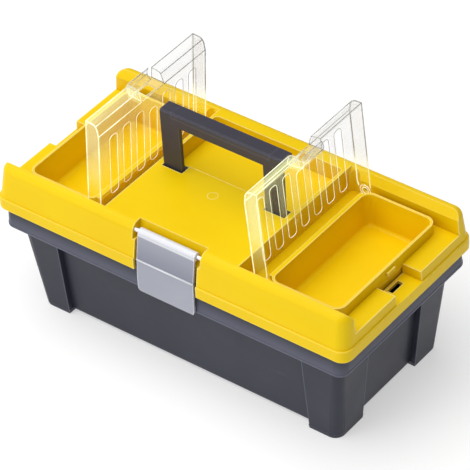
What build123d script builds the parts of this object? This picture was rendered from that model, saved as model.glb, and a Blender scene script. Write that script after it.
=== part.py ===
from build123d import *
from math import cos, radians, sin
import os

os.makedirs("parts", exist_ok=True)

# Driving dimensions in millimetres. X runs along the box, -Y is the latch side, Z is up.
body_y = -4.9            # middle of the body; the rear hinges reach further out than the latch
length = 316.4           # lid skirt, the widest outline
width = 157.2
corner_radius = 9.0
deck_z = 130.5           # top of the closed body
skirt_low_z = 94.0
skirt_high_z = 103.8
seat_z = 101.3           # the lid rests here on the rim of the tub
wall = 2.4

# Tub
rim_length = 307.0
rim_width = 152.6
rim_taper = 3.5                 # the rim band flares out towards its lower edge
rim_low_z = 77.0
tub_top = (291.5, 138.0)        # body outline just under the rim band
tub_foot = (272.8, 124.8)       # body outline at the feet
panel_depth = 4.6               # side panels sit this far inside the corner pillars
foot_height = 3.0
front_panel_half = 111.0
side_panel_half = 32.5

# Lid top
front_face_top = 72.6           # half width of the lid where the front face ends
rear_face_top = 74.2            # the same at the rear
end_slope = 1.9                 # lean of each end face over its height
top_radius = 7.0                # blend round the top edge of the lid
well_lip_half = 67.2            # top inner edge of the long walls
well_lip_z = 124.4              # where their inner faces start to lean out
well_half = 63.0                # the walls stand outside this
well_inner_x = 60.0             # the deck ends here
well_floor_z = 112.0
trough_floor_z = 109.5
notch_half = 15.5
notch_floor_z = 103.8
pocket_inner_x = 80.3
pocket_outer_x = 138.5
pocket_half = 57.5
pocket_floor_z = 94.0
rim_z = 121.4
rim_thickness = 1.8
pocket_radius = 6.5

# Organiser covers, hinged on an axis along Y
cover_hinge_x = 75.5
cover_hinge_z = 118.0
cover_lean = 4.0                # past upright, towards the middle
cover_half = 62.0
cover_top = 6.5                 # hinge axis to the outside of the plate
cover_drop = -5.5               # hinge axis to the free edge of the skirt
cover_end = 79.5                # hinge axis to the outer end
cover_bend = 6.0
cover_wall = 1.6
stub_radius = 2.0

# Handle, folding on an axis along X
handle_y = -0.3
handle_z = 124.5
handle_half = 54.2
handle_front = -6.0             # from the axis
handle_depth = 12.7
handle_top_z = 181.0
grip_height = 11.5
leg_width = 16.6
leg_thickness = 3.4
trunnion_radius = 2.2
cap_half = 44.0
cap_depth = 4.0

# Latch
latch_y = -70.5
latch_z = 125.2
latch_half = 25.5
pin_radius = 1.7
eye_radius = 3.1
latch_gauge = 1.7
latch_pocket_half = 30.3
latch_slot_half = 28.0

# Rear hinges
hinge_y = 83.9
hinge_z = 98.0
hinge_x = 88.0
knuckle_radius = 4.5
hinge_pin_radius = 1.6
knuckle_half = 14.0
ear_width = 6.0
hinge_gap = 0.5

running_gap = 0.05


def level(height):
    """Horizontal plane over the middle of the body."""
    return Plane((0, body_y, height))


def across(x):
    """Plane at x whose own axes are world Y and world Z; it extrudes along +X."""
    return Plane(origin=(x, body_y, 0), x_dir=(0, 1, 0), z_dir=(1, 0, 0))


def along(y):
    """Plane at y whose own axes are world X and world Z; it extrudes along -Y."""
    return Plane(origin=(0, body_y + y, 0), x_dir=(1, 0, 0), z_dir=(0, -1, 0))


def block(x_range, y_range, z_range, mode=Mode.ADD, radius=0.0, taper=0.0):
    """Upright block between the given limits, with rounded plan corners."""
    sides = (x_range[1] - x_range[0], y_range[1] - y_range[0])
    with BuildSketch(level(z_range[0])) as plan:
        with Locations(((x_range[0] + x_range[1]) / 2, (y_range[0] + y_range[1]) / 2)):
            if radius:
                RectangleRounded(*sides, radius)
            else:
                Rectangle(*sides)
    extrude(plan.sketch, amount=z_range[1] - z_range[0], taper=taper, mode=mode)


def rounded(size, height, radius, depth, taper=0.0, mode=Mode.ADD):
    """Rounded rectangle centred on the body, extruded upward from the given height."""
    with BuildSketch(level(height)) as outline:
        RectangleRounded(size[0], size[1], radius)
    extrude(outline.sketch, amount=depth, taper=taper, mode=mode)


def prism_x(points, x_range, mode=Mode.ADD):
    """Outline of (y, z) points extruded between two x values."""
    with BuildSketch(across(x_range[0])) as outline:
        with BuildLine():
            Polyline(*points, close=True)
        make_face()
    extrude(outline.sketch, amount=x_range[1] - x_range[0], mode=mode)


def rod_x(y, z, radius, x_range, mode=Mode.ADD):
    """Cylinder along X."""
    with BuildSketch(across(x_range[0])) as disc:
        with Locations((y, z)):
            Circle(radius)
    extrude(disc.sketch, amount=x_range[1] - x_range[0], mode=mode)


def rod_y(x, z, radius, y_range, mode=Mode.ADD):
    """Cylinder along Y."""
    with BuildSketch(along(y_range[1])) as disc:
        with Locations((x, z)):
            Circle(radius)
    extrude(disc.sketch, amount=y_range[1] - y_range[0], mode=mode)


def both_sides(x_range):
    """An x range and its mirror image."""
    return (x_range, (-x_range[1], -x_range[0]))


# ---------------------------------------------------------------- tub
def panel_cut(half_size, plane, half_length):
    """Cut everything outside a wall panel that leans with the tub."""
    slope = (half_size[1] - half_size[0]) / rim_low_z
    over = 10.0
    for side in (-1, 1):
        with BuildSketch(plane) as outside:
            with BuildLine():
                Polyline(
                    (side * (half_size[0] - over * slope), -over),
                    (side * (half_size[1] + over * slope), rim_low_z + over),
                    (side * (half_size[1] + 40), rim_low_z + over),
                    (side * (half_size[1] + 40), -over),
                    close=True,
                )
            make_face()
        extrude(outside.sketch, amount=half_length, both=True, mode=Mode.SUBTRACT)


def tub_form(inset, low_z):
    """Leaning body with proud corner pillars; inset 0 is the outside, wall the inside."""
    share = low_z / rim_low_z
    low = [tub_foot[i] + (tub_top[i] - tub_foot[i]) * share - 2 * inset for i in (0, 1)]
    with BuildSketch(level(low_z)) as foot:
        RectangleRounded(low[0], low[1], 8.0 - inset)
    with BuildSketch(level(rim_low_z + wall)) as top:
        RectangleRounded(tub_top[0] - 2 * inset, tub_top[1] - 2 * inset, 8.0 - inset)
    loft(sections=[foot.sketch, top.sketch])
    back = panel_depth + inset
    panel_cut((tub_foot[1] / 2 - back, tub_top[1] / 2 - back), across(0), front_panel_half + inset)
    panel_cut((tub_foot[0] / 2 - back, tub_top[0] / 2 - back), along(0), side_panel_half + inset)


def corner_feet():
    """Pillar ends that carry the tub clear of the ground."""
    with BuildSketch(level(0)) as feet:
        RectangleRounded(tub_foot[0], tub_foot[1], 8.0)
        Rectangle(2 * front_panel_half, tub_foot[1], mode=Mode.SUBTRACT)
        Rectangle(tub_foot[0], 2 * side_panel_half, mode=Mode.SUBTRACT)
    extrude(feet.sketch, amount=foot_height + 0.4, taper=-7)


def hinge_ears():
    """Two ears for each rear hinge, standing on the rim band."""
    root = rim_width / 2 - 3.0
    tip = hinge_y + knuckle_radius
    for side in (-1, 1):
        for end in (-1, 1):
            near = side * hinge_x + end * (knuckle_half + hinge_gap)
            low_x = min(near, near + end * ear_width)
            with BuildSketch(across(low_x)) as ear:
                with BuildLine():
                    Polyline((root, hinge_z - 17), (tip, hinge_z - 3), (tip, hinge_z), close=False)
                    RadiusArc((tip, hinge_z), (hinge_y, hinge_z + knuckle_radius), -knuckle_radius)
                    Polyline(
                        (hinge_y, hinge_z + knuckle_radius),
                        (root, hinge_z + 1.0),
                        (root, hinge_z - 17),
                    )
                make_face()
                with Locations((hinge_y, hinge_z)):
                    Circle(hinge_pin_radius, mode=Mode.SUBTRACT)
            extrude(ear.sketch, amount=ear_width)


with BuildPart() as tub_room:
    tub_form(wall, foot_height + wall)
    fillet(tub_room.edges().group_by(Axis.Z)[0], radius=1.5)
    rounded((rim_length - 7.6, rim_width - 7.6), rim_low_z + wall, 5.7, 40)

with BuildPart() as rim_band:
    rounded((rim_length, rim_width), rim_low_z, 8.0, seat_z - 0.2 - rim_low_z, taper=rim_taper)
    rounded((rim_length + 0.2, rim_width + 0.2), rim_low_z, 8.1, 2.2)
    fillet(rim_band.edges().group_by(Axis.Z)[0], radius=1.0)
    fillet(rim_band.edges().group_by(Axis.Z)[-1], radius=0.6)

with BuildPart() as base_tub:
    tub_form(0.0, foot_height)
    add(rim_band.part)
    corner_feet()
    add(tub_room.part, mode=Mode.SUBTRACT)
    hinge_ears()
base_tub.part.label = "base_tub"
export_step(base_tub.part, "parts/base_tub.step")


# ---------------------------------------------------------------- lid
def lid_outline(height, inset):
    """Plan of the upper lid at a height; its faces lean in towards the top."""
    rise = (height - skirt_high_z) / (deck_z - skirt_high_z)
    end = length / 2 - 1.3 - end_slope * rise - inset
    front = width / 2 - 1.3 - (width / 2 - 1.3 - front_face_top) * rise - inset
    rear = width / 2 - 1.3 - (width / 2 - 1.3 - rear_face_top) * rise - inset
    with BuildSketch(level(height)) as outline:
        with Locations((0, (rear - front) / 2)):
            RectangleRounded(2 * end, rear + front, corner_radius - inset)
    return outline.sketch


def lid_form(inset, low_z):
    """Upper lid: leaning faces with one soft blend along the whole top edge."""
    with BuildPart() as form:
        loft(sections=[lid_outline(low_z, inset), lid_outline(deck_z - inset, inset)])
        fillet(form.edges().group_by(Axis.Z)[-1], radius=top_radius - inset)
    return form.part


def well_cut(grow, mode):
    """Low end wells between the long walls, open at the ends of the lid."""
    half = well_half + grow
    lip = well_lip_half + grow
    floor_z = well_floor_z - grow
    section = [
        (-half, floor_z),
        (half, floor_z),
        (half, well_lip_z),
        (lip, deck_z),
        (lip, deck_z + 5),
        (-lip, deck_z + 5),
        (-lip, deck_z),
        (-half, well_lip_z),
    ]
    for x_range in both_sides((well_inner_x - grow, length / 2 + 5)):
        prism_x(section, x_range, mode)


def trough_cut(grow, mode):
    """Room beside the deck for the inner end of an open cover."""
    for x_range in both_sides((well_inner_x - grow, pocket_inner_x - rim_thickness - 0.01)):
        block(x_range, (-well_half - grow, well_half + grow), (trough_floor_z - grow, 140), mode)
    for x_range in both_sides((well_inner_x - grow, well_inner_x + 11.0 + grow)):
        half = well_half + 3.5 + grow
        block(x_range, (-half, half), (trough_floor_z - grow, 140), mode, radius=5.4)


def notch_cut(grow, mode):
    """Middle of each end ledge, cut down for the snap tab of the cover."""
    half = notch_half + grow
    for x_range in both_sides((pocket_outer_x + rim_thickness, length / 2 + 5)):
        block(x_range, (-half, half), (notch_floor_z - grow, 140), mode)


def recess_cut(grow, mode):
    """Recess behind the handle, with a slot in front of it for each leg."""
    half = handle_half + 3.0 + grow
    block((-half, half), (2.0 - grow, 60.0 + grow), (117.0 - grow, 140), mode, radius=3.0)
    for x_range in both_sides((handle_half - leg_width - 0.9 - grow, handle_half + 0.9 + grow)):
        block(x_range, (-7.8 - grow, 6.0), (117.0 - grow, 140), mode)


def latch_pocket(grow, mode):
    """Hollow in the front face that takes the eye and the plate of the latch."""
    upper = [(-63.4, 131.0), (-66.0, 122.6), (-69.6, 119.0), (-90, 119.0), (-90, 131.0)]
    lower = [(-66.0, 122.6), (-71.9, 116.8), (-71.9, seat_z), (-90, seat_z), (-90, 122.6)]
    upper = [(y + grow, z + (grow if z > 130 else -grow if z < 120 else 0)) for y, z in upper]
    lower = [(y + grow, z) for y, z in lower]
    prism_x(upper, (-latch_pocket_half - grow, latch_pocket_half + grow), mode)
    prism_x(lower, (-latch_slot_half - grow, latch_slot_half + grow), mode)


def pocket_form(grow, depth):
    """Tapered organiser compartment, from its rim down."""
    size = (pocket_outer_x - pocket_inner_x + 2 * grow, 2 * (pocket_half + grow))
    for side in (-1, 1):
        middle = side * (pocket_inner_x + pocket_outer_x) / 2
        rim_plane = Plane(origin=(middle, body_y, rim_z), x_dir=(1, 0, 0), z_dir=(0, 0, -1))
        with BuildSketch(rim_plane) as mouth:
            RectangleRounded(size[0], size[1], pocket_radius + grow)
        extrude(mouth.sketch, amount=depth, taper=4)


with BuildPart() as pockets:
    pocket_form(0.0, rim_z - pocket_floor_z)
    fillet(pockets.edges().group_by(Axis.Z)[0], radius=3.0)

with BuildPart() as pocket_shells:
    pocket_form(rim_thickness, rim_z - pocket_floor_z + rim_thickness)
    fillet(pocket_shells.edges().group_by(Axis.Z)[0], radius=4.0)

lid_inside = lid_form(wall, seat_z - 1)
lid_outside = lid_form(0.0, skirt_high_z - 2)

with BuildPart() as lid_room:
    add(lid_inside)
    seat = (rim_length - 6.0, rim_width - 6.0)
    rounded(seat, seat_z - 1, 6.5, 60, mode=Mode.INTERSECT)
    well_cut(wall, Mode.SUBTRACT)
    trough_cut(wall, Mode.SUBTRACT)
    notch_cut(wall, Mode.SUBTRACT)
    recess_cut(wall, Mode.SUBTRACT)
    latch_pocket(wall, Mode.SUBTRACT)
    add(pocket_shells.part, mode=Mode.SUBTRACT)
    rounded((length - 2 * wall, width - 2 * wall), 80, corner_radius - wall, seat_z - 80)
    add(pocket_shells.part, mode=Mode.SUBTRACT)


def lid_knuckles():
    """Hinge knuckles on the rear skirt, and clear slots for the ears beside them."""
    root = width / 2 - 1.0
    for side in (-1, 1):
        middle = side * hinge_x
        for end in (-1, 1):
            near = middle + end * knuckle_half
            far = near + end * (ear_width + 2 * hinge_gap)
            x_range = (min(near, far), max(near, far))
            block(x_range, (rim_width / 2 - 0.8, 95), (90, skirt_high_z + 0.6), Mode.SUBTRACT)
        x_range = (middle - knuckle_half, middle + knuckle_half)
        arm = [
            (root, hinge_z - 2.5),
            (hinge_y, hinge_z - knuckle_radius),
            (hinge_y, hinge_z + knuckle_radius),
            (root, skirt_high_z),
        ]
        prism_x(arm, x_range)
        rod_x(hinge_y, hinge_z, knuckle_radius, x_range)
        rod_x(hinge_y, hinge_z, hinge_pin_radius + running_gap, x_range, Mode.SUBTRACT)


def pocket_rims():
    """Thin walls of the compartments above the floor of the wells."""
    outer_x = pocket_outer_x + rim_thickness
    half = pocket_half + rim_thickness
    for x_range in both_sides((pocket_inner_x - rim_thickness, outer_x)):
        low_z = trough_floor_z - 1.0
        block(x_range, (-half, half), (low_z, rim_z), radius=pocket_radius + rim_thickness)


def rolled_lips():
    """Wider lip on each compartment rim beside the hinge, inside the sweep of the cover."""
    lip = [
        (pocket_inner_x - 4.7, rim_z - 2.2),
        (pocket_inner_x - 3.7, rim_z),
        (pocket_inner_x - 1.0, rim_z),
        (pocket_inner_x - 1.0, rim_z - 5.6),
        (pocket_inner_x - 1.8, rim_z - 5.0),
    ]
    half = pocket_half - 3.0
    for side in (-1, 1):
        with BuildSketch(along(half)) as section:
            with BuildLine():
                Polyline(*[(side * x, z) for x, z in lip], close=True)
            make_face()
        extrude(section.sketch, amount=2 * half)


def snap_details():
    """Nib on the outer wall of each compartment and the slot under it."""
    face = pocket_outer_x + rim_thickness
    for x_range in both_sides((face - 0.2, face + 1.9)):
        block(x_range, (-4.5, 4.5), (115.0, 118.0))
    for x_range in both_sides((face + 2.3, face + 6.9)):
        block(x_range, (-6.5, 6.5), (90, 110), Mode.SUBTRACT)


with BuildPart() as lid_shell:
    rounded((length, width), skirt_low_z, corner_radius, skirt_high_z - skirt_low_z)
    fillet(lid_shell.edges().group_by(Axis.Z)[-1], radius=0.9)
    fillet(lid_shell.edges().group_by(Axis.Z)[0], radius=0.7)
    add(lid_outside)
    well_cut(0.0, Mode.SUBTRACT)
    trough_cut(0.0, Mode.SUBTRACT)
    notch_cut(0.0, Mode.SUBTRACT)
    recess_cut(0.0, Mode.SUBTRACT)
    latch_pocket(0.0, Mode.SUBTRACT)
    pocket_rims()
    rolled_lips()
    add(pocket_shells.part)
    add(lid_room.part, mode=Mode.SUBTRACT)
    add(pockets.part, mode=Mode.SUBTRACT)
    block((-latch_slot_half, latch_slot_half), (-90, -70), (90, seat_z), Mode.SUBTRACT)
    lid_knuckles()
    snap_details()
    for x_range in both_sides((handle_half + 0.5, handle_half + 5.0)):
        rod_x(handle_y, handle_z, trunnion_radius + running_gap, x_range, Mode.SUBTRACT)
    reach = latch_pocket_half + 3.0
    rod_x(latch_y, latch_z, pin_radius, (-reach, reach), Mode.SUBTRACT)
    for x in (-cover_hinge_x, cover_hinge_x):
        for y_range in both_sides((62.5, 67.0)):
            rod_y(x, cover_hinge_z, stub_radius + running_gap, y_range, Mode.SUBTRACT)
lid_shell.part.label = "lid_shell"
export_step(lid_shell.part, "parts/lid_shell.step")

# ---------------------------------------------------------------- organiser covers
# The covers stand open. Their own directions are u, out along the plate, and v, away from
# its outer face, both from the hinge axis, so the same numbers hold whatever the lean.
lean = radians(cover_lean)
u_direction = (-sin(lean), 0, cos(lean))
v_direction = (-cos(lean), 0, -sin(lean))
tab_u = 70.0             # snap tab, inset from the outer end
tab_half = 12.6
cover_crease = 69.5
lip_half = 11.8
lip_v = -8.2
panel_pitch = 15.2
panel_width = 8.6
panel_corner = 3.0
panel_from = 8.0
panel_to = 61.5
middle_panel_to = 56.0


def cover_at(y):
    """Plane of the cover's side profile at the given y; it extrudes along -Y."""
    origin = (cover_hinge_x, body_y + y, cover_hinge_z)
    return Plane(origin=origin, x_dir=u_direction, z_dir=(0, -1, 0))


def cover_section(inset, low_v, half):
    """Side profile of a cover: rounded at the hinge, quarter-round at the outer end."""
    top = cover_top - inset
    straight = cover_end - cover_bend
    shoulder = top - 0.9
    end = cover_end - inset
    bend_low = shoulder - cover_bend + inset
    with BuildSketch(cover_at(half)) as section:
        with BuildLine():
            Polyline((end, low_v), (-top - 0.53 * low_v, low_v), (-top, 0))
            RadiusArc((-top, 0), (0, top), top)
            Polyline((0, top), (cover_crease, top), (straight, shoulder))
            RadiusArc((straight, shoulder), (end, bend_low), cover_bend - inset)
            Line((end, bend_low), (end, low_v))
        make_face()
    extrude(section.sketch, amount=2 * half)


def cover_block(u_range, v_range, half, mode=Mode.ADD):
    """Block in the cover's own directions, across both sides of the middle."""
    with BuildSketch(cover_at(half)) as outline:
        with Locations(((u_range[0] + u_range[1]) / 2, (v_range[0] + v_range[1]) / 2)):
            Rectangle(u_range[1] - u_range[0], v_range[1] - v_range[0])
    extrude(outline.sketch, amount=2 * half, mode=mode)


def finger_lip():
    """Outer wall of the snap tab, bulging outward between the tab and the end of the cover."""
    start = tab_u - cover_wall / 2
    with BuildSketch(cover_at(lip_half)) as lip:
        with BuildLine() as run:
            down = Line((start, cover_drop + 1.6), (start, cover_drop + 0.9))
            ThreePointArc(down @ 1, (start + 3.6, lip_v), (cover_end - 0.9, lip_v + 1.4))
        trace(run.line, line_width=cover_wall)
    extrude(lip.sketch, amount=2 * lip_half)


def outlined_panels():
    """Seven shallow round-cornered panels in the outer face of the plate."""
    origin = [cover_hinge_x, body_y, cover_hinge_z]
    origin = [o + cover_top * v for o, v in zip(origin, v_direction)]
    plate = Plane(origin=tuple(origin), x_dir=u_direction, z_dir=v_direction)
    for i in range(-3, 4):
        far = panel_to if i else middle_panel_to
        with BuildSketch(plate) as panel:
            with Locations(((panel_from + far) / 2, i * panel_pitch)):
                RectangleRounded(far - panel_from, panel_width, panel_corner)
        extrude(panel.sketch, amount=-0.5, mode=Mode.SUBTRACT)


with BuildPart() as cover_room:
    cover_section(cover_wall, cover_drop - 3, cover_half - cover_wall)
    cover_block((-10, 0), (-12, -1.5), cover_half - cover_wall)
    cover_block((tab_u - cover_wall, 90), (-20, 20), tab_half + cover_wall, Mode.SUBTRACT)

with BuildPart() as organiser_cover_right:
    cover_section(0.0, cover_drop, cover_half)
    cover_block((tab_u, 90), (-20, 20), tab_half, Mode.SUBTRACT)
    add(cover_room.part, mode=Mode.SUBTRACT)
    finger_lip()
    cover_block((tab_u - 3, tab_u + 1), (-3.2, 4.6), 5.5, Mode.SUBTRACT)
    outlined_panels()
    for y in (cover_half + 3.4, -cover_half):
        with BuildSketch(cover_at(y)) as stub:
            Circle(stub_radius)
        extrude(stub.sketch, amount=3.4)
organiser_cover_right.part.label = "organiser_cover_right"
export_step(organiser_cover_right.part, "parts/organiser_cover_right.step")

with BuildPart() as organiser_cover_left:
    mirror(organiser_cover_right.part, about=Plane.YZ)
organiser_cover_left.part.label = "organiser_cover_left"
export_step(organiser_cover_left.part, "parts/organiser_cover_left.step")

# ---------------------------------------------------------------- carrying handle
bar_front = handle_y + handle_front
bar_y = (bar_front, bar_front + handle_depth)
cap_low_z = handle_top_z - cap_depth

with BuildPart() as grip_bar:
    block((-handle_half, handle_half), bar_y, (handle_top_z - grip_height, handle_top_z))
    chamfer(grip_bar.edges().filter_by(Axis.X).group_by(Axis.Z)[-1], length=1.3)
    fillet(grip_bar.edges().filter_by(Axis.X).group_by(Axis.Z)[0], radius=0.8)

with BuildPart() as carry_handle:
    add(grip_bar.part)
    block((-cap_half, cap_half), (-20, 20), (cap_low_z, 200), Mode.SUBTRACT)
    for x_range in both_sides((handle_half - leg_width, handle_half)):
        leg_top = handle_top_z - grip_height + 0.9
        block(x_range, (bar_front, bar_front + leg_thickness), (handle_z - 3.5, leg_top))
        block(x_range, (bar_front, handle_y + 3.4), (handle_z - 3.5, handle_z + 3.4))
    for x_range in both_sides((handle_half, handle_half + 4.2)):
        rod_x(handle_y, handle_z, trunnion_radius, x_range)
carry_handle.part.label = "carry_handle"
export_step(carry_handle.part, "parts/carry_handle.step")

with BuildPart() as handle_grip_cap:
    add(grip_bar.part)
    half = cap_half - 0.2
    block((-half, half), (-20, 20), (cap_low_z, 200), Mode.INTERSECT)
handle_grip_cap.part.label = "handle_grip_cap"
export_step(handle_grip_cap.part, "parts/handle_grip_cap.step")

# ---------------------------------------------------------------- latch
latch_low_z = 72.8


def latch_run():
    """Plate of the latch from its eye down to the lip that hooks under the rim."""
    with BuildSketch(across(-latch_half)) as section:
        with BuildLine() as run:
            Line((-73.0, latch_z), (-76.6, 104.0))
            Polyline((-76.6, 104.0), (-77.7, 88.0), (-77.75, 79.5))
            ThreePointArc((-77.75, 79.5), (-76.5, 75.0), (-72.6, latch_low_z + 0.2))
        trace(run.line, line_width=latch_gauge)
        with Locations((-77.3, 104.0)):
            Circle(0.8)
        with Locations((latch_y, latch_z)):
            Circle(eye_radius)
            Circle(pin_radius + running_gap, mode=Mode.SUBTRACT)
    extrude(section.sketch, amount=2 * latch_half)


with BuildPart() as latch_plate:
    latch_run()
    with BuildSketch(along(-60)) as front_outline:
        with Locations((0, 110)):
            RectangleRounded(2 * latch_half, 2 * (110 - latch_low_z), 7.5)
        with Locations((0, 125)):
            Rectangle(2 * latch_half, 20)
    extrude(front_outline.sketch, amount=40, mode=Mode.INTERSECT)
latch_plate.part.label = "latch_plate"
export_step(latch_plate.part, "parts/latch_plate.step")

with BuildPart() as latch_pin:
    rod_x(latch_y, latch_z, pin_radius, (-latch_pocket_half - 2.0, latch_pocket_half + 2.0))
latch_pin.part.label = "latch_pin"
export_step(latch_pin.part, "parts/latch_pin.step")

# ---------------------------------------------------------------- rear hinge pins
for side, side_name in ((-1, "left"), (1, "right")):
    half = knuckle_half + hinge_gap + ear_width
    with BuildPart() as hinge_pin:
        rod_x(hinge_y, hinge_z, hinge_pin_radius, (side * hinge_x - half, side * hinge_x + half))
    hinge_pin.part.label = "hinge_pin_" + side_name
    export_step(hinge_pin.part, "parts/hinge_pin_" + side_name + ".step")

# ---------------------------------------------------------------- lift-out tray
tray_rim = (297.8, 143.0)
tray_size = (268.0, 120.0)
tray_low_z = 55.0
tray_rim_z = rim_low_z + wall + 0.1
tray_wall = 2.0
hoop_half = 42.0
hoop_top_z = 100.0

with BuildPart() as tray_room:
    size = (tray_size[0] - 4 - 2 * tray_wall, tray_size[1] - 4 - 2 * tray_wall)
    rounded(size, tray_low_z + tray_wall, 4.5, 30, taper=-4)
    fillet(tray_room.edges().group_by(Axis.Z)[0], radius=1.2)

with BuildPart() as lift_out_tray:
    rounded(tray_rim, tray_rim_z, 4.8, tray_wall)
    hang = tray_rim_z + tray_wall - tray_low_z
    rounded((tray_size[0] - 4, tray_size[1] - 4), tray_low_z, 6.0, hang, taper=-4)
    add(tray_room.part, mode=Mode.SUBTRACT)
    half_x = tray_size[0] / 2 - 2.2
    divider_z = (tray_low_z + 1, tray_rim_z + 0.6)
    block((-half_x, half_x), (-tray_wall / 2, tray_wall / 2), divider_z)
    for x in (-tray_size[0] / 6, tray_size[0] / 6):
        block((x - tray_wall / 2, x + tray_wall / 2), (0, tray_size[1] / 2 - 2.2), divider_z)
    block((-hoop_half, hoop_half), (-1.5, 1.5), (tray_low_z + 1, hoop_top_z))
    block((-hoop_half + 7, hoop_half - 7), (-5, 5), (tray_rim_z + 3, hoop_top_z - 6), Mode.SUBTRACT)
    top_corners = lift_out_tray.edges().filter_by(Axis.Y).group_by(Axis.Z)[-1]
    fillet(top_corners, radius=5.0)
lift_out_tray.part.label = "lift_out_tray"
export_step(lift_out_tray.part, "parts/lift_out_tray.step")
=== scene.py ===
# Looks of the toolbox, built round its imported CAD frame. Everything is in metres, in the frame of
# the CAD: X runs along the box, -Y is the latch side, Z is up.
import math

import bmesh
import bpy
from mathutils import Matrix, Vector


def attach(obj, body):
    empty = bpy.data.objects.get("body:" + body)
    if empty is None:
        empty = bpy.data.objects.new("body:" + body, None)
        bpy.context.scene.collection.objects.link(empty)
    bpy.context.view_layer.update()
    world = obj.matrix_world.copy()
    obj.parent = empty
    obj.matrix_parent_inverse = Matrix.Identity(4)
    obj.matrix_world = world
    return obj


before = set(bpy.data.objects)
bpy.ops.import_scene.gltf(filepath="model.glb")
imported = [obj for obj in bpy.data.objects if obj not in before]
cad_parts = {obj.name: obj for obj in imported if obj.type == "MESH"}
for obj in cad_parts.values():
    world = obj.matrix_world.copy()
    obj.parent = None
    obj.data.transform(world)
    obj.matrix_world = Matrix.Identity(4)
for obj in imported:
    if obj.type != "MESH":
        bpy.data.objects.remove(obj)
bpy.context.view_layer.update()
MM = 0.001
BODY_Y = -4.9 * MM  # middle of the body; the rear hinges take up the rest of the box

# Organiser covers, as they stand open. u runs out along the plate from the hinge, y along the hinge
# and v from the plane of the hinge towards the outside of the plate.
COVER_HINGE = (75.5 * MM, 118.0 * MM)  # x and z of the hinge axis
COVER_LEAN = math.radians(4.0)
COVER_REACH = 80.0 * MM  # hinge axis to just past the outer end
SKIRT_FROM = 60.4 * MM  # the skirts lie beyond this y
END_FROM = 78.0 * MM  # the outer end lies beyond this u
PANEL_PITCH = 15.2 * MM
PANEL_WIDTH = 8.6 * MM
PANEL_CORNER = 3.0 * MM
PANEL_FROM = 8.0 * MM
PANEL_TO = 61.5 * MM
MIDDLE_PANEL_TO = 56.0 * MM  # the middle panel ends short of the window
PANEL_FACE = 6.38 * MM  # v of the lines round the panels
EDGE_Y = 61.55 * MM  # the rounded edges of the skirts
PIVOT_Y = 61.8 * MM
PIVOT_RADII = (2.7 * MM, 4.6 * MM)
NOTCH_Y = 12.9 * MM  # the plate is notched on both sides of the tab
TAB_HALF = 11.5 * MM
WINDOW_U = 69.7 * MM

# Latch
LATCH_HALF = 25.3 * MM
RIDGE = (-77.9 * MM, 104.0 * MM)  # y from the middle of the body, and z
EYE = (-70.5 * MM, 125.2 * MM)
EYE_SLEEVE_RADIUS = 3.22 * MM

# Mark of the moulding gate, on the deck
GATE_MARK_PLACE = (-2.5 * MM, BODY_Y - 15.7 * MM, 130.5 * MM)
GATE_MARK_RADIUS = 3.6 * MM
GATE_MARK_SIDES = 20

# Reach of the ambient occlusion that finds edges, creases and recesses
EDGE_REACH = 1.1 * MM
CREASE_REACH = 1.6 * MM
RECESS_REACH = 22.0 * MM


# ------------------------------------------------------------------ node helpers
class Graph:
    """A material with a Principled shader and short ways to add nodes to it."""

    def __init__(self, name, **sockets):
        self.material = bpy.data.materials.new(name)
        self.material.use_nodes = True
        self.tree = self.material.node_tree
        self.tree.nodes.clear()
        self.shader = self.tree.nodes.new("ShaderNodeBsdfPrincipled")
        output = self.tree.nodes.new("ShaderNodeOutputMaterial")
        self.tree.links.new(self.shader.outputs["BSDF"], output.inputs["Surface"])
        for key, value in sockets.items():
            self.shader.inputs[key.replace("_", " ")].default_value = value
        coordinates = self.tree.nodes.new("ShaderNodeTexCoord")
        self.place = coordinates.outputs["Object"]

    def node(self, kind, inputs=None, **settings):
        made = self.tree.nodes.new(kind)
        for key, value in settings.items():
            setattr(made, key, value)
        for key, value in (inputs or {}).items():
            if isinstance(value, bpy.types.NodeSocket):
                self.tree.links.new(value, made.inputs[key])
            else:
                made.inputs[key].default_value = value
        return made

    def noise(self, scale, detail=2.0, roughness=0.5, stretch=None, distortion=0.0):
        place = self.place
        if stretch:
            place = self.node("ShaderNodeMapping", {"Vector": place, "Scale": stretch}).outputs[0]
        values = {
            "Vector": place,
            "Scale": scale,
            "Detail": detail,
            "Roughness": roughness,
            "Distortion": distortion,
        }
        return self.node("ShaderNodeTexNoise", values).outputs["Fac"]

    def ramp(self, value, stops, interpolation="LINEAR"):
        """stops: (position, number or colour) pairs."""
        made = self.node("ShaderNodeValToRGB", {"Fac": value})
        made.color_ramp.interpolation = interpolation
        points = made.color_ramp.elements
        while len(points) < len(stops):
            points.new(0.5)
        for point, (position, colour) in zip(points, stops):
            point.position = position
            if isinstance(colour, (int, float)):
                colour = (colour, colour, colour)
            point.color = (*colour, 1.0)
        return made.outputs["Color"]

    def mix(self, fac, a, b):
        made = self.node("ShaderNodeMix", data_type="RGBA")
        for index, value in ((0, fac), (6, a), (7, b)):
            if isinstance(value, bpy.types.NodeSocket):
                self.tree.links.new(value, made.inputs[index])
            else:
                made.inputs[index].default_value = value if index == 0 else (*value, 1.0)
        return made.outputs[2]

    def math(self, operation, a, b=0.0):
        made = self.node("ShaderNodeMath", operation=operation)
        for index, value in ((0, a), (1, b)):
            if isinstance(value, bpy.types.NodeSocket):
                self.tree.links.new(value, made.inputs[index])
            else:
                made.inputs[index].default_value = value
        return made.outputs[0]

    def bump(self, height, distance, strength=1.0, under=None):
        values = {"Height": height, "Distance": distance, "Strength": strength}
        if under:
            values["Normal"] = under
        return self.node("ShaderNodeBump", values).outputs["Normal"]

    def set(self, name, value):
        self.tree.links.new(value, self.shader.inputs[name])


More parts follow.
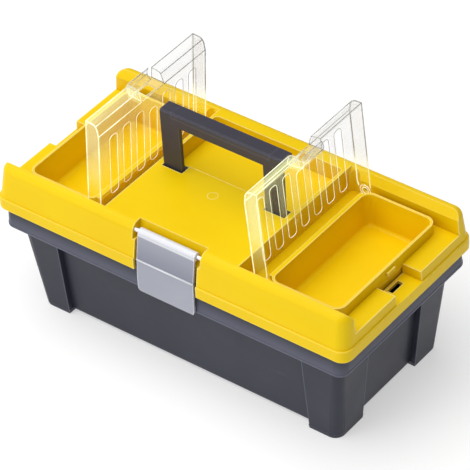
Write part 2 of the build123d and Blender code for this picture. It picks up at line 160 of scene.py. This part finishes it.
def moulded(
    name, colour, shade, light, roughness, scuff=0.05, edge_highlight_and_wear=0.5, edge_highlight_and_wear_colour=None, painted_light_strip=None, recess_shade=None, **sockets
):
    """Injection-moulded plastic: fine spark-eroded grain, faint flow clouds, light scuffs,
    outer edges lightened as a painted highlight with a little wear, and painted shade in the inner corners.

    The strip argument is (low z, high z, colour) of a strip of painted light, a paler or darker tone
    strongest just over its low side;
    the recess colour is painted shade on upright walls inside a recess.
    """
    g = Graph(name, **sockets)
    clouds = g.noise(9.0, 3.0, 0.55)
    tone = g.ramp(clouds, ((0.32, shade), (0.52, colour), (0.72, light)))
    flow = g.noise(30.0, 4.0, 0.6, stretch=(0.25, 1.0, 1.0), distortion=0.6)
    tone = g.mix(g.ramp(flow, ((0.45, 0.0), (0.85, 0.22))), tone, light)
    scratches = g.noise(170.0, 2.0, 0.5, stretch=(0.06, 1.0, 1.0), distortion=0.3)
    marks = g.ramp(scratches, ((0.70, 0.0), (0.78, 1.0)))
    patches = g.ramp(g.noise(16.0, 3.0, 0.6), ((0.50, 0.0), (0.70, 1.0)))
    marks = g.math("MULTIPLY", marks, patches)
    scuffed = tuple(min(1.0, c * 1.5 + 0.05) for c in light)
    tone = g.mix(g.math("MULTIPLY", marks, scuff), tone, scuffed)
    # strip of painted light: a paler or darker tone laid along z
    if painted_light_strip:
        low, high, painted_light_strip_colour = painted_light_strip
        z = g.node("ShaderNodeSeparateXYZ", {"Vector": g.place}).outputs["Z"]
        height = g.math("MULTIPLY", g.math("SUBTRACT", z, low), 1.0 / (high - low))
        painted_light_strip_mask = g.ramp(height, ((0.0, 0.0), (0.03, 1.0), (0.30, 0.72), (0.85, 0.0)))
        tone = g.mix(painted_light_strip_mask, tone, painted_light_strip_colour)
    # outer edges lightened: a painted highlight, with a little wear
    outer = g.node("ShaderNodeAmbientOcclusion", {"Distance": EDGE_REACH}, inside=True, samples=6)
    edge_highlight_and_wear_mask = g.ramp(outer.outputs["AO"], ((0.50, 1.0), (0.91, 0.0)))
    edge_highlight_and_wear_colour = edge_highlight_and_wear_colour or tuple(min(1.0, c * 1.9 + 0.03) for c in light)
    tone = g.mix(g.math("MULTIPLY", edge_highlight_and_wear_mask, edge_highlight_and_wear), tone, edge_highlight_and_wear_colour)
    # inner corners and creases darkened: painted shade
    inner = g.node("ShaderNodeAmbientOcclusion", {"Distance": CREASE_REACH}, samples=6)
    crease_shade = g.ramp(inner.outputs["AO"], ((0.40, 0.45), (0.75, 0.0)))
    tone = g.mix(crease_shade, tone, tuple(c * 0.35 for c in shade))
    # upright walls deep inside recesses turned a deeper orange: painted shade
    if recess_shade:
        normal = g.node("ShaderNodeNewGeometry").outputs["Normal"]
        rise = g.node("ShaderNodeSeparateXYZ", {"Vector": normal}).outputs["Z"]
        upright = g.ramp(g.math("ABSOLUTE", rise), ((0.25, 1.0), (0.75, 0.0)))
        wide = g.node("ShaderNodeAmbientOcclusion", {"Distance": RECESS_REACH}, samples=6)
        inside = g.ramp(wide.outputs["AO"], ((0.45, 0.50), (0.95, 0.0)))
        tone = g.mix(g.math("MULTIPLY", upright, inside), tone, recess_shade)
    g.set("Base Color", tone)
    haze = g.ramp(g.noise(42.0, 3.0, 0.6), ((0.3, roughness - 0.045), (0.7, roughness + 0.045)))
    g.set("Roughness", g.math("ADD", haze, g.math("MULTIPLY", marks, 0.12)))
    spark = g.bump(g.noise(2600.0, 2.0, 0.6), 0.03 * MM)
    swell = g.noise(55.0, 1.0, 0.4)
    g.set("Normal", g.bump(swell, 0.06 * MM, 0.6, under=spark))
    return g.material


def cover_places(g):
    """u and y, in metres, on either organiser cover: u runs out along the plate from the hinge."""
    split = g.node("ShaderNodeSeparateXYZ", {"Vector": g.place}).outputs
    side = g.math("SUBTRACT", g.math("ABSOLUTE", split["X"]), COVER_HINGE[0])
    rise = g.math("SUBTRACT", split["Z"], COVER_HINGE[1])
    back = g.math("MULTIPLY", side, -math.sin(COVER_LEAN))
    u = g.math("ADD", back, g.math("MULTIPLY", rise, math.cos(COVER_LEAN)))
    return u, g.math("SUBTRACT", split["Y"], BODY_Y)


def panel_mask(g, u, y):
    """1 inside the moulded panels of the plate, 0 on the rest of the cover."""
    across = g.math("ABSOLUTE", y)
    middle = g.math("LESS_THAN", across, PANEL_PITCH / 2)
    shorter = g.math("MULTIPLY", middle, PANEL_TO - MIDDLE_PANEL_TO)
    far = g.math("SUBTRACT", PANEL_TO - PANEL_CORNER, shorter)
    nearest = g.math("MINIMUM", g.math("MAXIMUM", u, PANEL_FROM + PANEL_CORNER), far)
    along = g.math("SUBTRACT", u, nearest)
    turns = g.math("ROUND", g.math("DIVIDE", y, PANEL_PITCH))
    aside = g.math("ABSOLUTE", g.math("SUBTRACT", y, g.math("MULTIPLY", turns, PANEL_PITCH)))
    aside = g.math("MAXIMUM", g.math("SUBTRACT", aside, PANEL_WIDTH / 2 - PANEL_CORNER), 0.0)
    squares = g.math("ADD", g.math("MULTIPLY", along, along), g.math("MULTIPLY", aside, aside))
    inside = g.math("LESS_THAN", squares, PANEL_CORNER**2)
    return g.math("MULTIPLY", inside, g.math("LESS_THAN", across, 3.5 * PANEL_PITCH))


def outer_corner(g, u, y):
    """0 low on a cover and at its front, 1 towards its upper rear corner, away from the yellow lid; it fades
    out the painted reflection, glow and glint of the lid.
    """
    reach = g.math("ADD", u, g.math("MULTIPLY", y, 0.65))
    return g.ramp(g.math("MULTIPLY", reach, 8.0), ((0.50, 0.0), (0.63, 1.0)), "EASE")


def clear_plastic(name):
    """Clear polystyrene: see-through, with a veil whose yellow, deepest low down, is a painted reflection of
    the lid, with a painted glow that is strongest there; it turns a neutral grey towards the upper rear
    corner, and is thicker on the skirts and thinner in the panels than on the plate."""
    g = Graph(name, IOR=1.45, Specular_IOR_Level=0.8)
    u, y = cover_places(g)
    away = outer_corner(g, u, y)
    # the yellow tint near the lid is a painted reflection of it, fading to grey away from it
    lid_reflection_tint = g.ramp(g.noise(14.0, 2.0), ((0.35, (0.64, 0.67, 0.34)), (0.65, (0.69, 0.73, 0.40))))
    reach = g.math("DIVIDE", u, COVER_REACH)
    foot = g.ramp(reach, ((0.12, 1.0), (0.50, 0.0)))
    lid_reflection_tint = g.mix(foot, lid_reflection_tint, (0.66, 0.55, 0.04))
    g.set("Base Color", g.mix(away, lid_reflection_tint, (0.68, 0.68, 0.66)))
    # emission: a painted glow, yellow and strongest low down, greyer away from the lid
    painted_glow = g.mix(foot, (0.98, 1.0, 0.50), (0.92, 0.76, 0.04))
    g.set("Emission Color", g.mix(away, painted_glow, (0.50, 0.50, 0.49)))
    g.set("Specular IOR Level", g.ramp(foot, ((0.0, 0.8), (1.0, 0.10))))
    g.set("Emission Strength", g.ramp(away, ((0.0, 0.46), (1.0, 0.18))))
    plate = g.ramp(reach, ((0.0, 0.02), (0.25, 0.05), (0.5, 0.11), (0.8, 0.13), (1.0, 0.16)))
    skirt = g.math("GREATER_THAN", g.math("ABSOLUTE", y), SKIRT_FROM)
    end = g.math("GREATER_THAN", u, END_FROM)
    edge = g.math("MAXIMUM", skirt, end)
    alpha = g.math("ADD", plate, g.math("MULTIPLY", edge, 0.11))
    streaks = g.noise(26.0, 3.0, 0.6, stretch=(1.0, 0.5, 1.0), distortion=0.8)
    alpha = g.math("MULTIPLY", alpha, g.ramp(streaks, ((0.3, 0.80), (0.7, 1.20))))
    panels = panel_mask(g, u, y)
    alpha = g.math("MULTIPLY", alpha, g.math("SUBTRACT", 1.0, g.math("MULTIPLY", panels, 0.82)))
    g.set("Alpha", alpha)
    g.set("Roughness", g.ramp(g.noise(60.0, 3.0), ((0.35, 0.06), (0.7, 0.14))))
    g.set("Normal", g.bump(g.noise(38.0, 2.0, 0.5), 0.1 * MM, 0.5))
    return g.material


def clear_edge(name, strength):
    """Rounded edge of clear polystyrene: a painted glint by the lid and a painted dark, smoky reflection away
    from it.
    """
    g = Graph(name, IOR=1.5, Specular_IOR_Level=1.0)
    u, y = cover_places(g)
    away = outer_corner(g, u, y)
    breaks = g.noise(70.0, 2.0, 0.5)
    # painted glint, given also as emission; away from the lid a dark grey painted reflection
    painted_glint = g.ramp(breaks, ((0.35, (0.80, 0.78, 0.52)), (0.60, (0.97, 0.97, 0.84))))
    g.set("Base Color", g.mix(away, painted_glint, (0.21, 0.205, 0.165)))
    g.set("Emission Color", painted_glint)
    g.set("Emission Strength", g.ramp(away, ((0.0, 0.38), (1.0, 0.0))))
    g.set("Alpha", g.math("MULTIPLY", g.ramp(breaks, ((0.30, 0.55), (0.62, 0.95))), strength))
    g.set("Roughness", g.ramp(g.noise(90.0, 2.0), ((0.3, 0.06), (0.7, 0.14))))
    g.set("Normal", g.bump(g.noise(160.0, 2.0, 0.5), 0.03 * MM, 0.6))
    return g.material


def drawn_steel(name):
    """Bright rod, with fine lines along it."""
    g = Graph(name, Metallic=1.0)
    lines = g.noise(420.0, 3.0, 0.6, stretch=(0.03, 1.0, 1.0))
    g.set("Base Color", g.ramp(lines, ((0.3, (0.74, 0.74, 0.76)), (0.7, (0.86, 0.86, 0.88)))))
    g.set("Roughness", g.ramp(lines, ((0.3, 0.26), (0.7, 0.38))))
    g.set("Normal", g.bump(lines, 0.02 * MM))
    return g.material


# middle, shaded and light tone of the lid
YELLOW_TONES = ((0.912, 0.626, 0.002), (0.887, 0.594, 0.002), (0.930, 0.654, 0.004))
yellow = moulded(
    "lid_yellow_pp",
    *YELLOW_TONES,
    0.34,
    scuff=0.08,
    # paler outer edges: painted highlight with a little wear; deeper upright recess walls: painted shade
    edge_highlight_and_wear=0.85,
    edge_highlight_and_wear_colour=(1.0, 0.88, 0.34),
    recess_shade=(0.74, 0.46, 0.0),
    Specular_IOR_Level=0.14,
)
yellow_mark = moulded("gate_mark_yellow_pp", *YELLOW_TONES, 0.30, edge_highlight_and_wear=0.0, Specular_IOR_Level=0.2)
graphite = moulded(
    "tub_graphite_pp",
    (0.036, 0.038, 0.054),
    (0.030, 0.032, 0.047),
    (0.045, 0.048, 0.066),
    0.36,
    scuff=0.25,
    # paler outer edges: painted highlight with a little wear
    edge_highlight_and_wear=0.8,
    edge_highlight_and_wear_colour=(0.17, 0.18, 0.24),
    # paler bluish strip low on the rim band: painted light
    painted_light_strip=(77.2 * MM, 96.5 * MM, (0.115, 0.120, 0.165)),
    Specular_IOR_Level=0.18,
)
charcoal = moulded(
    "handle_charcoal_pp",
    (0.045, 0.042, 0.060),
    (0.037, 0.035, 0.050),
    (0.056, 0.053, 0.075),
    0.42,
    scuff=0.25,
    Specular_IOR_Level=0.35,
)
silver = moulded(
    "latch_silver_pp",
    (0.335, 0.347, 0.415),
    (0.312, 0.323, 0.388),
    (0.365, 0.378, 0.445),
    0.22,
    scuff=0.02,
    # paler outer edges: painted highlight with a little wear
    edge_highlight_and_wear=0.8,
    edge_highlight_and_wear_colour=(0.80, 0.81, 0.86),
    # darker strip above the ridge: painted reflection
    painted_light_strip=(103.5 * MM, 129.0 * MM, (0.205, 0.215, 0.280)),
    Specular_IOR_Level=0.8,
)
# paler silver for the painted highlights along the latch's ridge and round its eye
highlight_silver = moulded(
    "latch_highlight_silver",
    (0.66, 0.67, 0.73),
    (0.60, 0.61, 0.67),
    (0.74, 0.75, 0.81),
    0.20,
    scuff=0.06,
    edge_highlight_and_wear=0.3,
    Specular_IOR_Level=0.8,
)
tray_grey = moulded(
    "tray_graphite_pp",
    (0.060, 0.060, 0.074),
    (0.052, 0.052, 0.065),
    (0.072, 0.073, 0.090),
    0.42,
    scuff=0.3,
    Specular_IOR_Level=0.3,
)
clear = clear_plastic("cover_clear_ps")
edge_clear = clear_edge("cover_edge_ps", 0.85)
line_clear = clear_edge("cover_line_ps", 0.80)
steel = drawn_steel("pin_drawn_steel")


# ------------------------------------------------------------------ CAD nodes
def dress(name, material, bevel=0.0):
    """Give a CAD node its material and, where a width is given, softened edges."""
    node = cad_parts[name]
    node.data.materials.clear()
    node.data.materials.append(material)
    if bevel:
        join = node.modifiers.new("join_faces", "WELD")
        join.merge_threshold = 0.005 * MM
        soft = node.modifiers.new("soft_edges", "BEVEL")
        soft.width = bevel
        soft.segments = 2
        soft.limit_method = "ANGLE"
        soft.angle_limit = math.radians(28.0)
        soft.harden_normals = True
        soft.use_clamp_overlap = True


dress("lid_shell", yellow, 0.6 * MM)
dress("base_tub", graphite, 0.4 * MM)
dress("carry_handle", charcoal, 0.3 * MM)
dress("handle_grip_cap", charcoal, 0.15 * MM)
dress("latch_plate", silver, 0.2 * MM)
dress("lift_out_tray", tray_grey, 0.3 * MM)
dress("organiser_cover_left", clear, 0.15 * MM)
dress("organiser_cover_right", clear, 0.15 * MM)
for pin in ("hinge_pin_left", "hinge_pin_right", "latch_pin"):
    dress(pin, steel)


# ------------------------------------------------------------------ pieces that ride on the nodes
def cover_point(side, u, y, v):
    """Point of a standing cover in the frame; side is -1 for the left one."""
    x = COVER_HINGE[0] - u * math.sin(COVER_LEAN) - v * math.cos(COVER_LEAN)
    z = COVER_HINGE[1] + u * math.cos(COVER_LEAN) - v * math.sin(COVER_LEAN)
    return Vector((side * x, BODY_Y + y, z))


def tube(bm, points, radius, closed=False, sides=8):
    """Sweep a round section along points, with its ends closed if the path is open."""
    count = len(points)
    rings = []
    turn = None
    for i, point in enumerate(points):
        before = points[i - 1] if (i or closed) else point
        after = points[(i + 1) % count] if (i < count - 1 or closed) else point
        ahead = (after - before).normalized()
        if turn is None:
            turn = ahead.orthogonal().normalized()
        turn = (turn - ahead * turn.dot(ahead)).normalized()
        other = ahead.cross(turn)
        ring = []
        for k in range(sides):
            angle = 2 * math.pi * k / sides
            ring.append(bm.verts.new(point + radius * (turn * math.cos(angle) + other * math.sin(angle))))
        rings.append(ring)
    spans = count if closed else count - 1
    for i in range(spans):
        one, two = rings[i], rings[(i + 1) % count]
        shift = 0
        if closed and i == spans - 1:
            shift = min(range(sides), key=lambda s: (one[0].co - two[s].co).length)
        for k in range(sides):
            m = (k + 1) % sides
            bm.faces.new((one[k], one[m], two[(m + shift) % sides], two[(k + shift) % sides]))
    if not closed:
        bm.faces.new(list(reversed(rings[0])))
        bm.faces.new(rings[-1])


def piece(name, bm, material, body):
    """Turn built geometry into a smooth object that rides on a body."""
    bmesh.ops.recalc_face_normals(bm, faces=bm.faces)
    mesh = bpy.data.meshes.new(name)
    bm.to_mesh(mesh)
    bm.free()
    for face in mesh.polygons:
        face.use_smooth = True
    mesh.materials.append(material)
    made = bpy.data.objects.new(name, mesh)
    bpy.context.collection.objects.link(made)
    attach(made, body)
    return made


def panel_outline(side, y, far, v):
    """Points round one moulded panel, which ends at far."""
    half = PANEL_WIDTH / 2 - PANEL_CORNER
    low = PANEL_FROM + PANEL_CORNER
    high = far - PANEL_CORNER
    points = []
    for u, aside, start in ((high, half, 0), (low, half, 90), (low, -half, 180), (high, -half, 270)):
        for k in range(5):
            angle = math.radians(start + k * 22.5)
            along = u + PANEL_CORNER * math.cos(angle)
            points.append(cover_point(side, along, y + aside + PANEL_CORNER * math.sin(angle), v))
    return points


def panel_edges(side, name, body):
    """Rounded edges of the seven moulded panels."""
    bm = bmesh.new()
    for i in range(-3, 4):
        far = PANEL_TO if i else MIDDLE_PANEL_TO
        tube(bm, panel_outline(side, i * PANEL_PITCH, far, PANEL_FACE), 0.22 * MM, closed=True, sides=6)
    return piece(name, bm, line_clear, body)


def skirt_profile():
    """(u, v) of the outer edge of a skirt, in millimetres, with its bend at the outer end."""
    profile = [(3.0, 5.2), (6.0, 6.05), (69.3, 6.05), (73.4, 5.2)]
    for k in range(1, 7):
        angle = math.radians(90 - 15 * k)
        profile.append((73.5 + 5.55 * math.cos(angle), -0.4 + 5.55 * math.sin(angle)))
    return profile + [(79.05, -5.05)]


def rim_edges(side, name, body):
    """Rounded edges of the plate, its skirts, its tab and window, and rings round its pivots."""
    bm = bmesh.new()

    def line_at(y, profile, radius):
        tube(bm, [cover_point(side, u * MM, y, v * MM) for u, v in profile], radius)

    def line_across(u, v, ends, radius):
        tube(bm, [cover_point(side, u * MM, y, v * MM) for y in ends], radius)

    for y in (-EDGE_Y, EDGE_Y):
        line_at(y, skirt_profile(), 0.42 * MM)
        line_at(y, [(79.0, -5.1), (40.0, -5.1), (4.0, -5.1)], 0.36 * MM)
    for end in (-1, 1):
        for u, v in ((79.05, -5.05), (69.5, 6.12), (77.7, 3.5)):
            line_across(u, v, (end * 13.0 * MM, end * 61.5 * MM), 0.34 * MM)
    notch = [(70.2, 5.9), (73.5, 5.0), (78.0, 2.9), (79.0, -0.4), (79.0, -5.0), (70.3, -5.0), (70.2, 5.9)]
    lip = [(69.2, -4.7), (70.0, -6.9), (72.6, -8.1), (75.6, -8.1), (78.4, -6.9)]
    for end in (-1, 1):
        line_at(end * NOTCH_Y, notch, 0.26 * MM)
        line_at(end * TAB_HALF, lip, 0.24 * MM)
    for u, v in ((78.4, -6.9), (69.3, 6.0), (69.0, -4.8), (72.6, -8.1)):
        line_across(u, v, (-TAB_HALF, TAB_HALF), 0.24 * MM)
    window = [(-5.5, 4.6), (5.5, 4.6), (5.5, -3.2), (-5.5, -3.2)]
    tube(bm, [cover_point(side, WINDOW_U, y * MM, v * MM) for y, v in window], 0.24 * MM, closed=True)
    for y in (-PIVOT_Y, PIVOT_Y):
        for radius in PIVOT_RADII:
            ring = [math.radians(30 * k) for k in range(12)]
            points = [cover_point(side, radius * math.cos(a), y, radius * math.sin(a)) for a in ring]
            tube(bm, points, 0.22 * MM, closed=True, sides=6)
    return piece(name, bm, edge_clear, body)


def latch_rod(place, radius, sides=8):
    """Round rod across the latch, at place (y from the middle of the body, and z)."""
    bm = bmesh.new()
    y, z = place
    tube(bm, [Vector((x, BODY_Y + y, z)) for x in (-LATCH_HALF, LATCH_HALF)], radius, sides=sides)
    return bm


def latch_trim():
    """Paler rod along the ridge of the latch and a paler sleeve round its eye: painted highlights."""
    piece("latch_ridge", latch_rod(RIDGE, 0.42 * MM), highlight_silver, "latch")
    bm = latch_rod(EYE, EYE_SLEEVE_RADIUS, sides=28)
    rims = [e for e in bm.edges if e.calc_face_angle(0.0) > 1.0]
    bmesh.ops.bevel(bm, geom=rims, offset=0.35 * MM, segments=2, affect="EDGES")
    sleeve = piece("latch_eye_sleeve", bm, highlight_silver, "latch")
    sleeve.data.set_sharp_from_angle(angle=math.radians(40))


def gate_mark():
    """Witness mark of a moulding gate: a low ring with a small boss in it."""
    bm = bmesh.new()
    rings = []
    # (part of the radius, millimetres above the deck); the first ring is sunk in the deck
    ridge = ((1.0, 0.0), (0.95, 0.035), (0.86, 0.035), (0.80, 0.01))
    for reach, rise in ((1.0, -1.6), *ridge, (0.40, 0.01), (0.32, 0.03)):
        ring = []
        for k in range(GATE_MARK_SIDES):
            angle = 2 * math.pi * (k + 0.5) / GATE_MARK_SIDES
            around = Vector((math.cos(angle), math.sin(angle), 0.0)) * GATE_MARK_RADIUS * reach
            ring.append(bm.verts.new(Vector(GATE_MARK_PLACE) + around + Vector((0.0, 0.0, rise * MM))))
        rings.append(ring)
    for low, high in zip(rings, rings[1:]):
        for k in range(GATE_MARK_SIDES):
            m = (k + 1) % GATE_MARK_SIDES
            bm.faces.new((low[k], low[m], high[m], high[k]))
    bm.faces.new(rings[-1])
    bm.faces.new(list(reversed(rings[0])))
    piece("lid_gate_mark", bm, yellow_mark, "lid")


latch_trim()
gate_mark()
for side, word in ((-1, "left"), (1, "right")):
    edges = panel_edges(side, "cover_" + word + "_panel_edges", "cover_" + word)
    rims = rim_edges(side, "cover_" + word + "_rim_edges", "cover_" + word)
    for made in (edges, rims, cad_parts["organiser_cover_" + word]):
        made.visible_shadow = False


# ------------------------------------------------------------------ stage
def studio_world():
    """A soft studio: bright from the left, front and above, dim from the right and behind."""
    world = bpy.data.worlds.new("studio")
    bpy.context.scene.world = world
    world.use_nodes = True
    tree = world.node_tree
    background = tree.nodes["Background"]
    background.inputs["Color"].default_value = (1.0, 1.0, 1.0, 1.0)
    direction = tree.nodes.new("ShaderNodeTexCoord").outputs["Generated"]
    toward = tree.nodes.new("ShaderNodeVectorMath")
    toward.operation = "DOT_PRODUCT"
    toward.inputs[1].default_value = Vector((-0.55, -0.55, 0.63)).normalized()
    tree.links.new(direction, toward.inputs[0])
    level = tree.nodes.new("ShaderNodeMapRange")
    level.inputs["From Min"].default_value = -0.55
    level.inputs["From Max"].default_value = 0.95
    level.inputs["To Min"].default_value = 0.02
    level.inputs["To Max"].default_value = 0.66
    tree.links.new(toward.outputs["Value"], level.inputs["Value"])
    tree.links.new(level.outputs[0], background.inputs["Strength"])


studio_world()
bpy.ops.mesh.primitive_plane_add(size=8.0, location=(0.0, 0.0, -0.0002))
floor = bpy.context.object
floor.name = "studio_floor"
floor_look = Graph("pale_floor", Roughness=0.9, Specular_IOR_Level=0.1, Emission_Strength=0.46)
floor_look.shader.inputs["Emission Color"].default_value = (1.0, 1.0, 1.0, 1.0)
floor_look.set("Base Color", floor_look.ramp(floor_look.noise(3.0), ((0.3, 0.60), (0.7, 0.63))))
floor.data.materials.append(floor_look.material)


def area_light(name, place, aim, power, size):
    """A square softbox that faces aim."""
    data = bpy.data.lights.new(name, "AREA")
    data.energy = power
    data.shape = "SQUARE"
    data.size = size
    lamp = bpy.data.objects.new(name, data)
    lamp.location = place
    lamp.rotation_euler = (Vector(aim) - Vector(place)).to_track_quat("-Z", "Y").to_euler()
    bpy.context.collection.objects.link(lamp)


area_light("top_softbox", (-0.3, -0.3, 2.2), (0, 0, 0), 40.0, 2.6)
area_light("key_light", (-1.0, -1.7, 0.9), (0, 0, 0.08), 5.5, 0.9)

# ------------------------------------------------------------------ camera
camera_data = bpy.data.cameras.new("camera")
camera_data.sensor_width = 36.0
camera_data.lens = 251.64
camera = bpy.data.objects.new("camera", camera_data)
right = Vector((0.7948, 0.6044, -0.0543))
up = Vector((-0.3545, 0.5351, 0.7669))
look = Vector((-0.4926, 0.5903, -0.6395))
turn = Matrix((right, up, -look)).transposed().to_4x4()
camera.matrix_world = Matrix.Translation((1.1754, -1.4055 + BODY_Y, 1.6082)) @ turn
camera_data.clip_end = 20.0
bpy.context.collection.objects.link(camera)
bpy.context.scene.camera = camera
bpy.context.scene.view_settings.view_transform = "Standard"
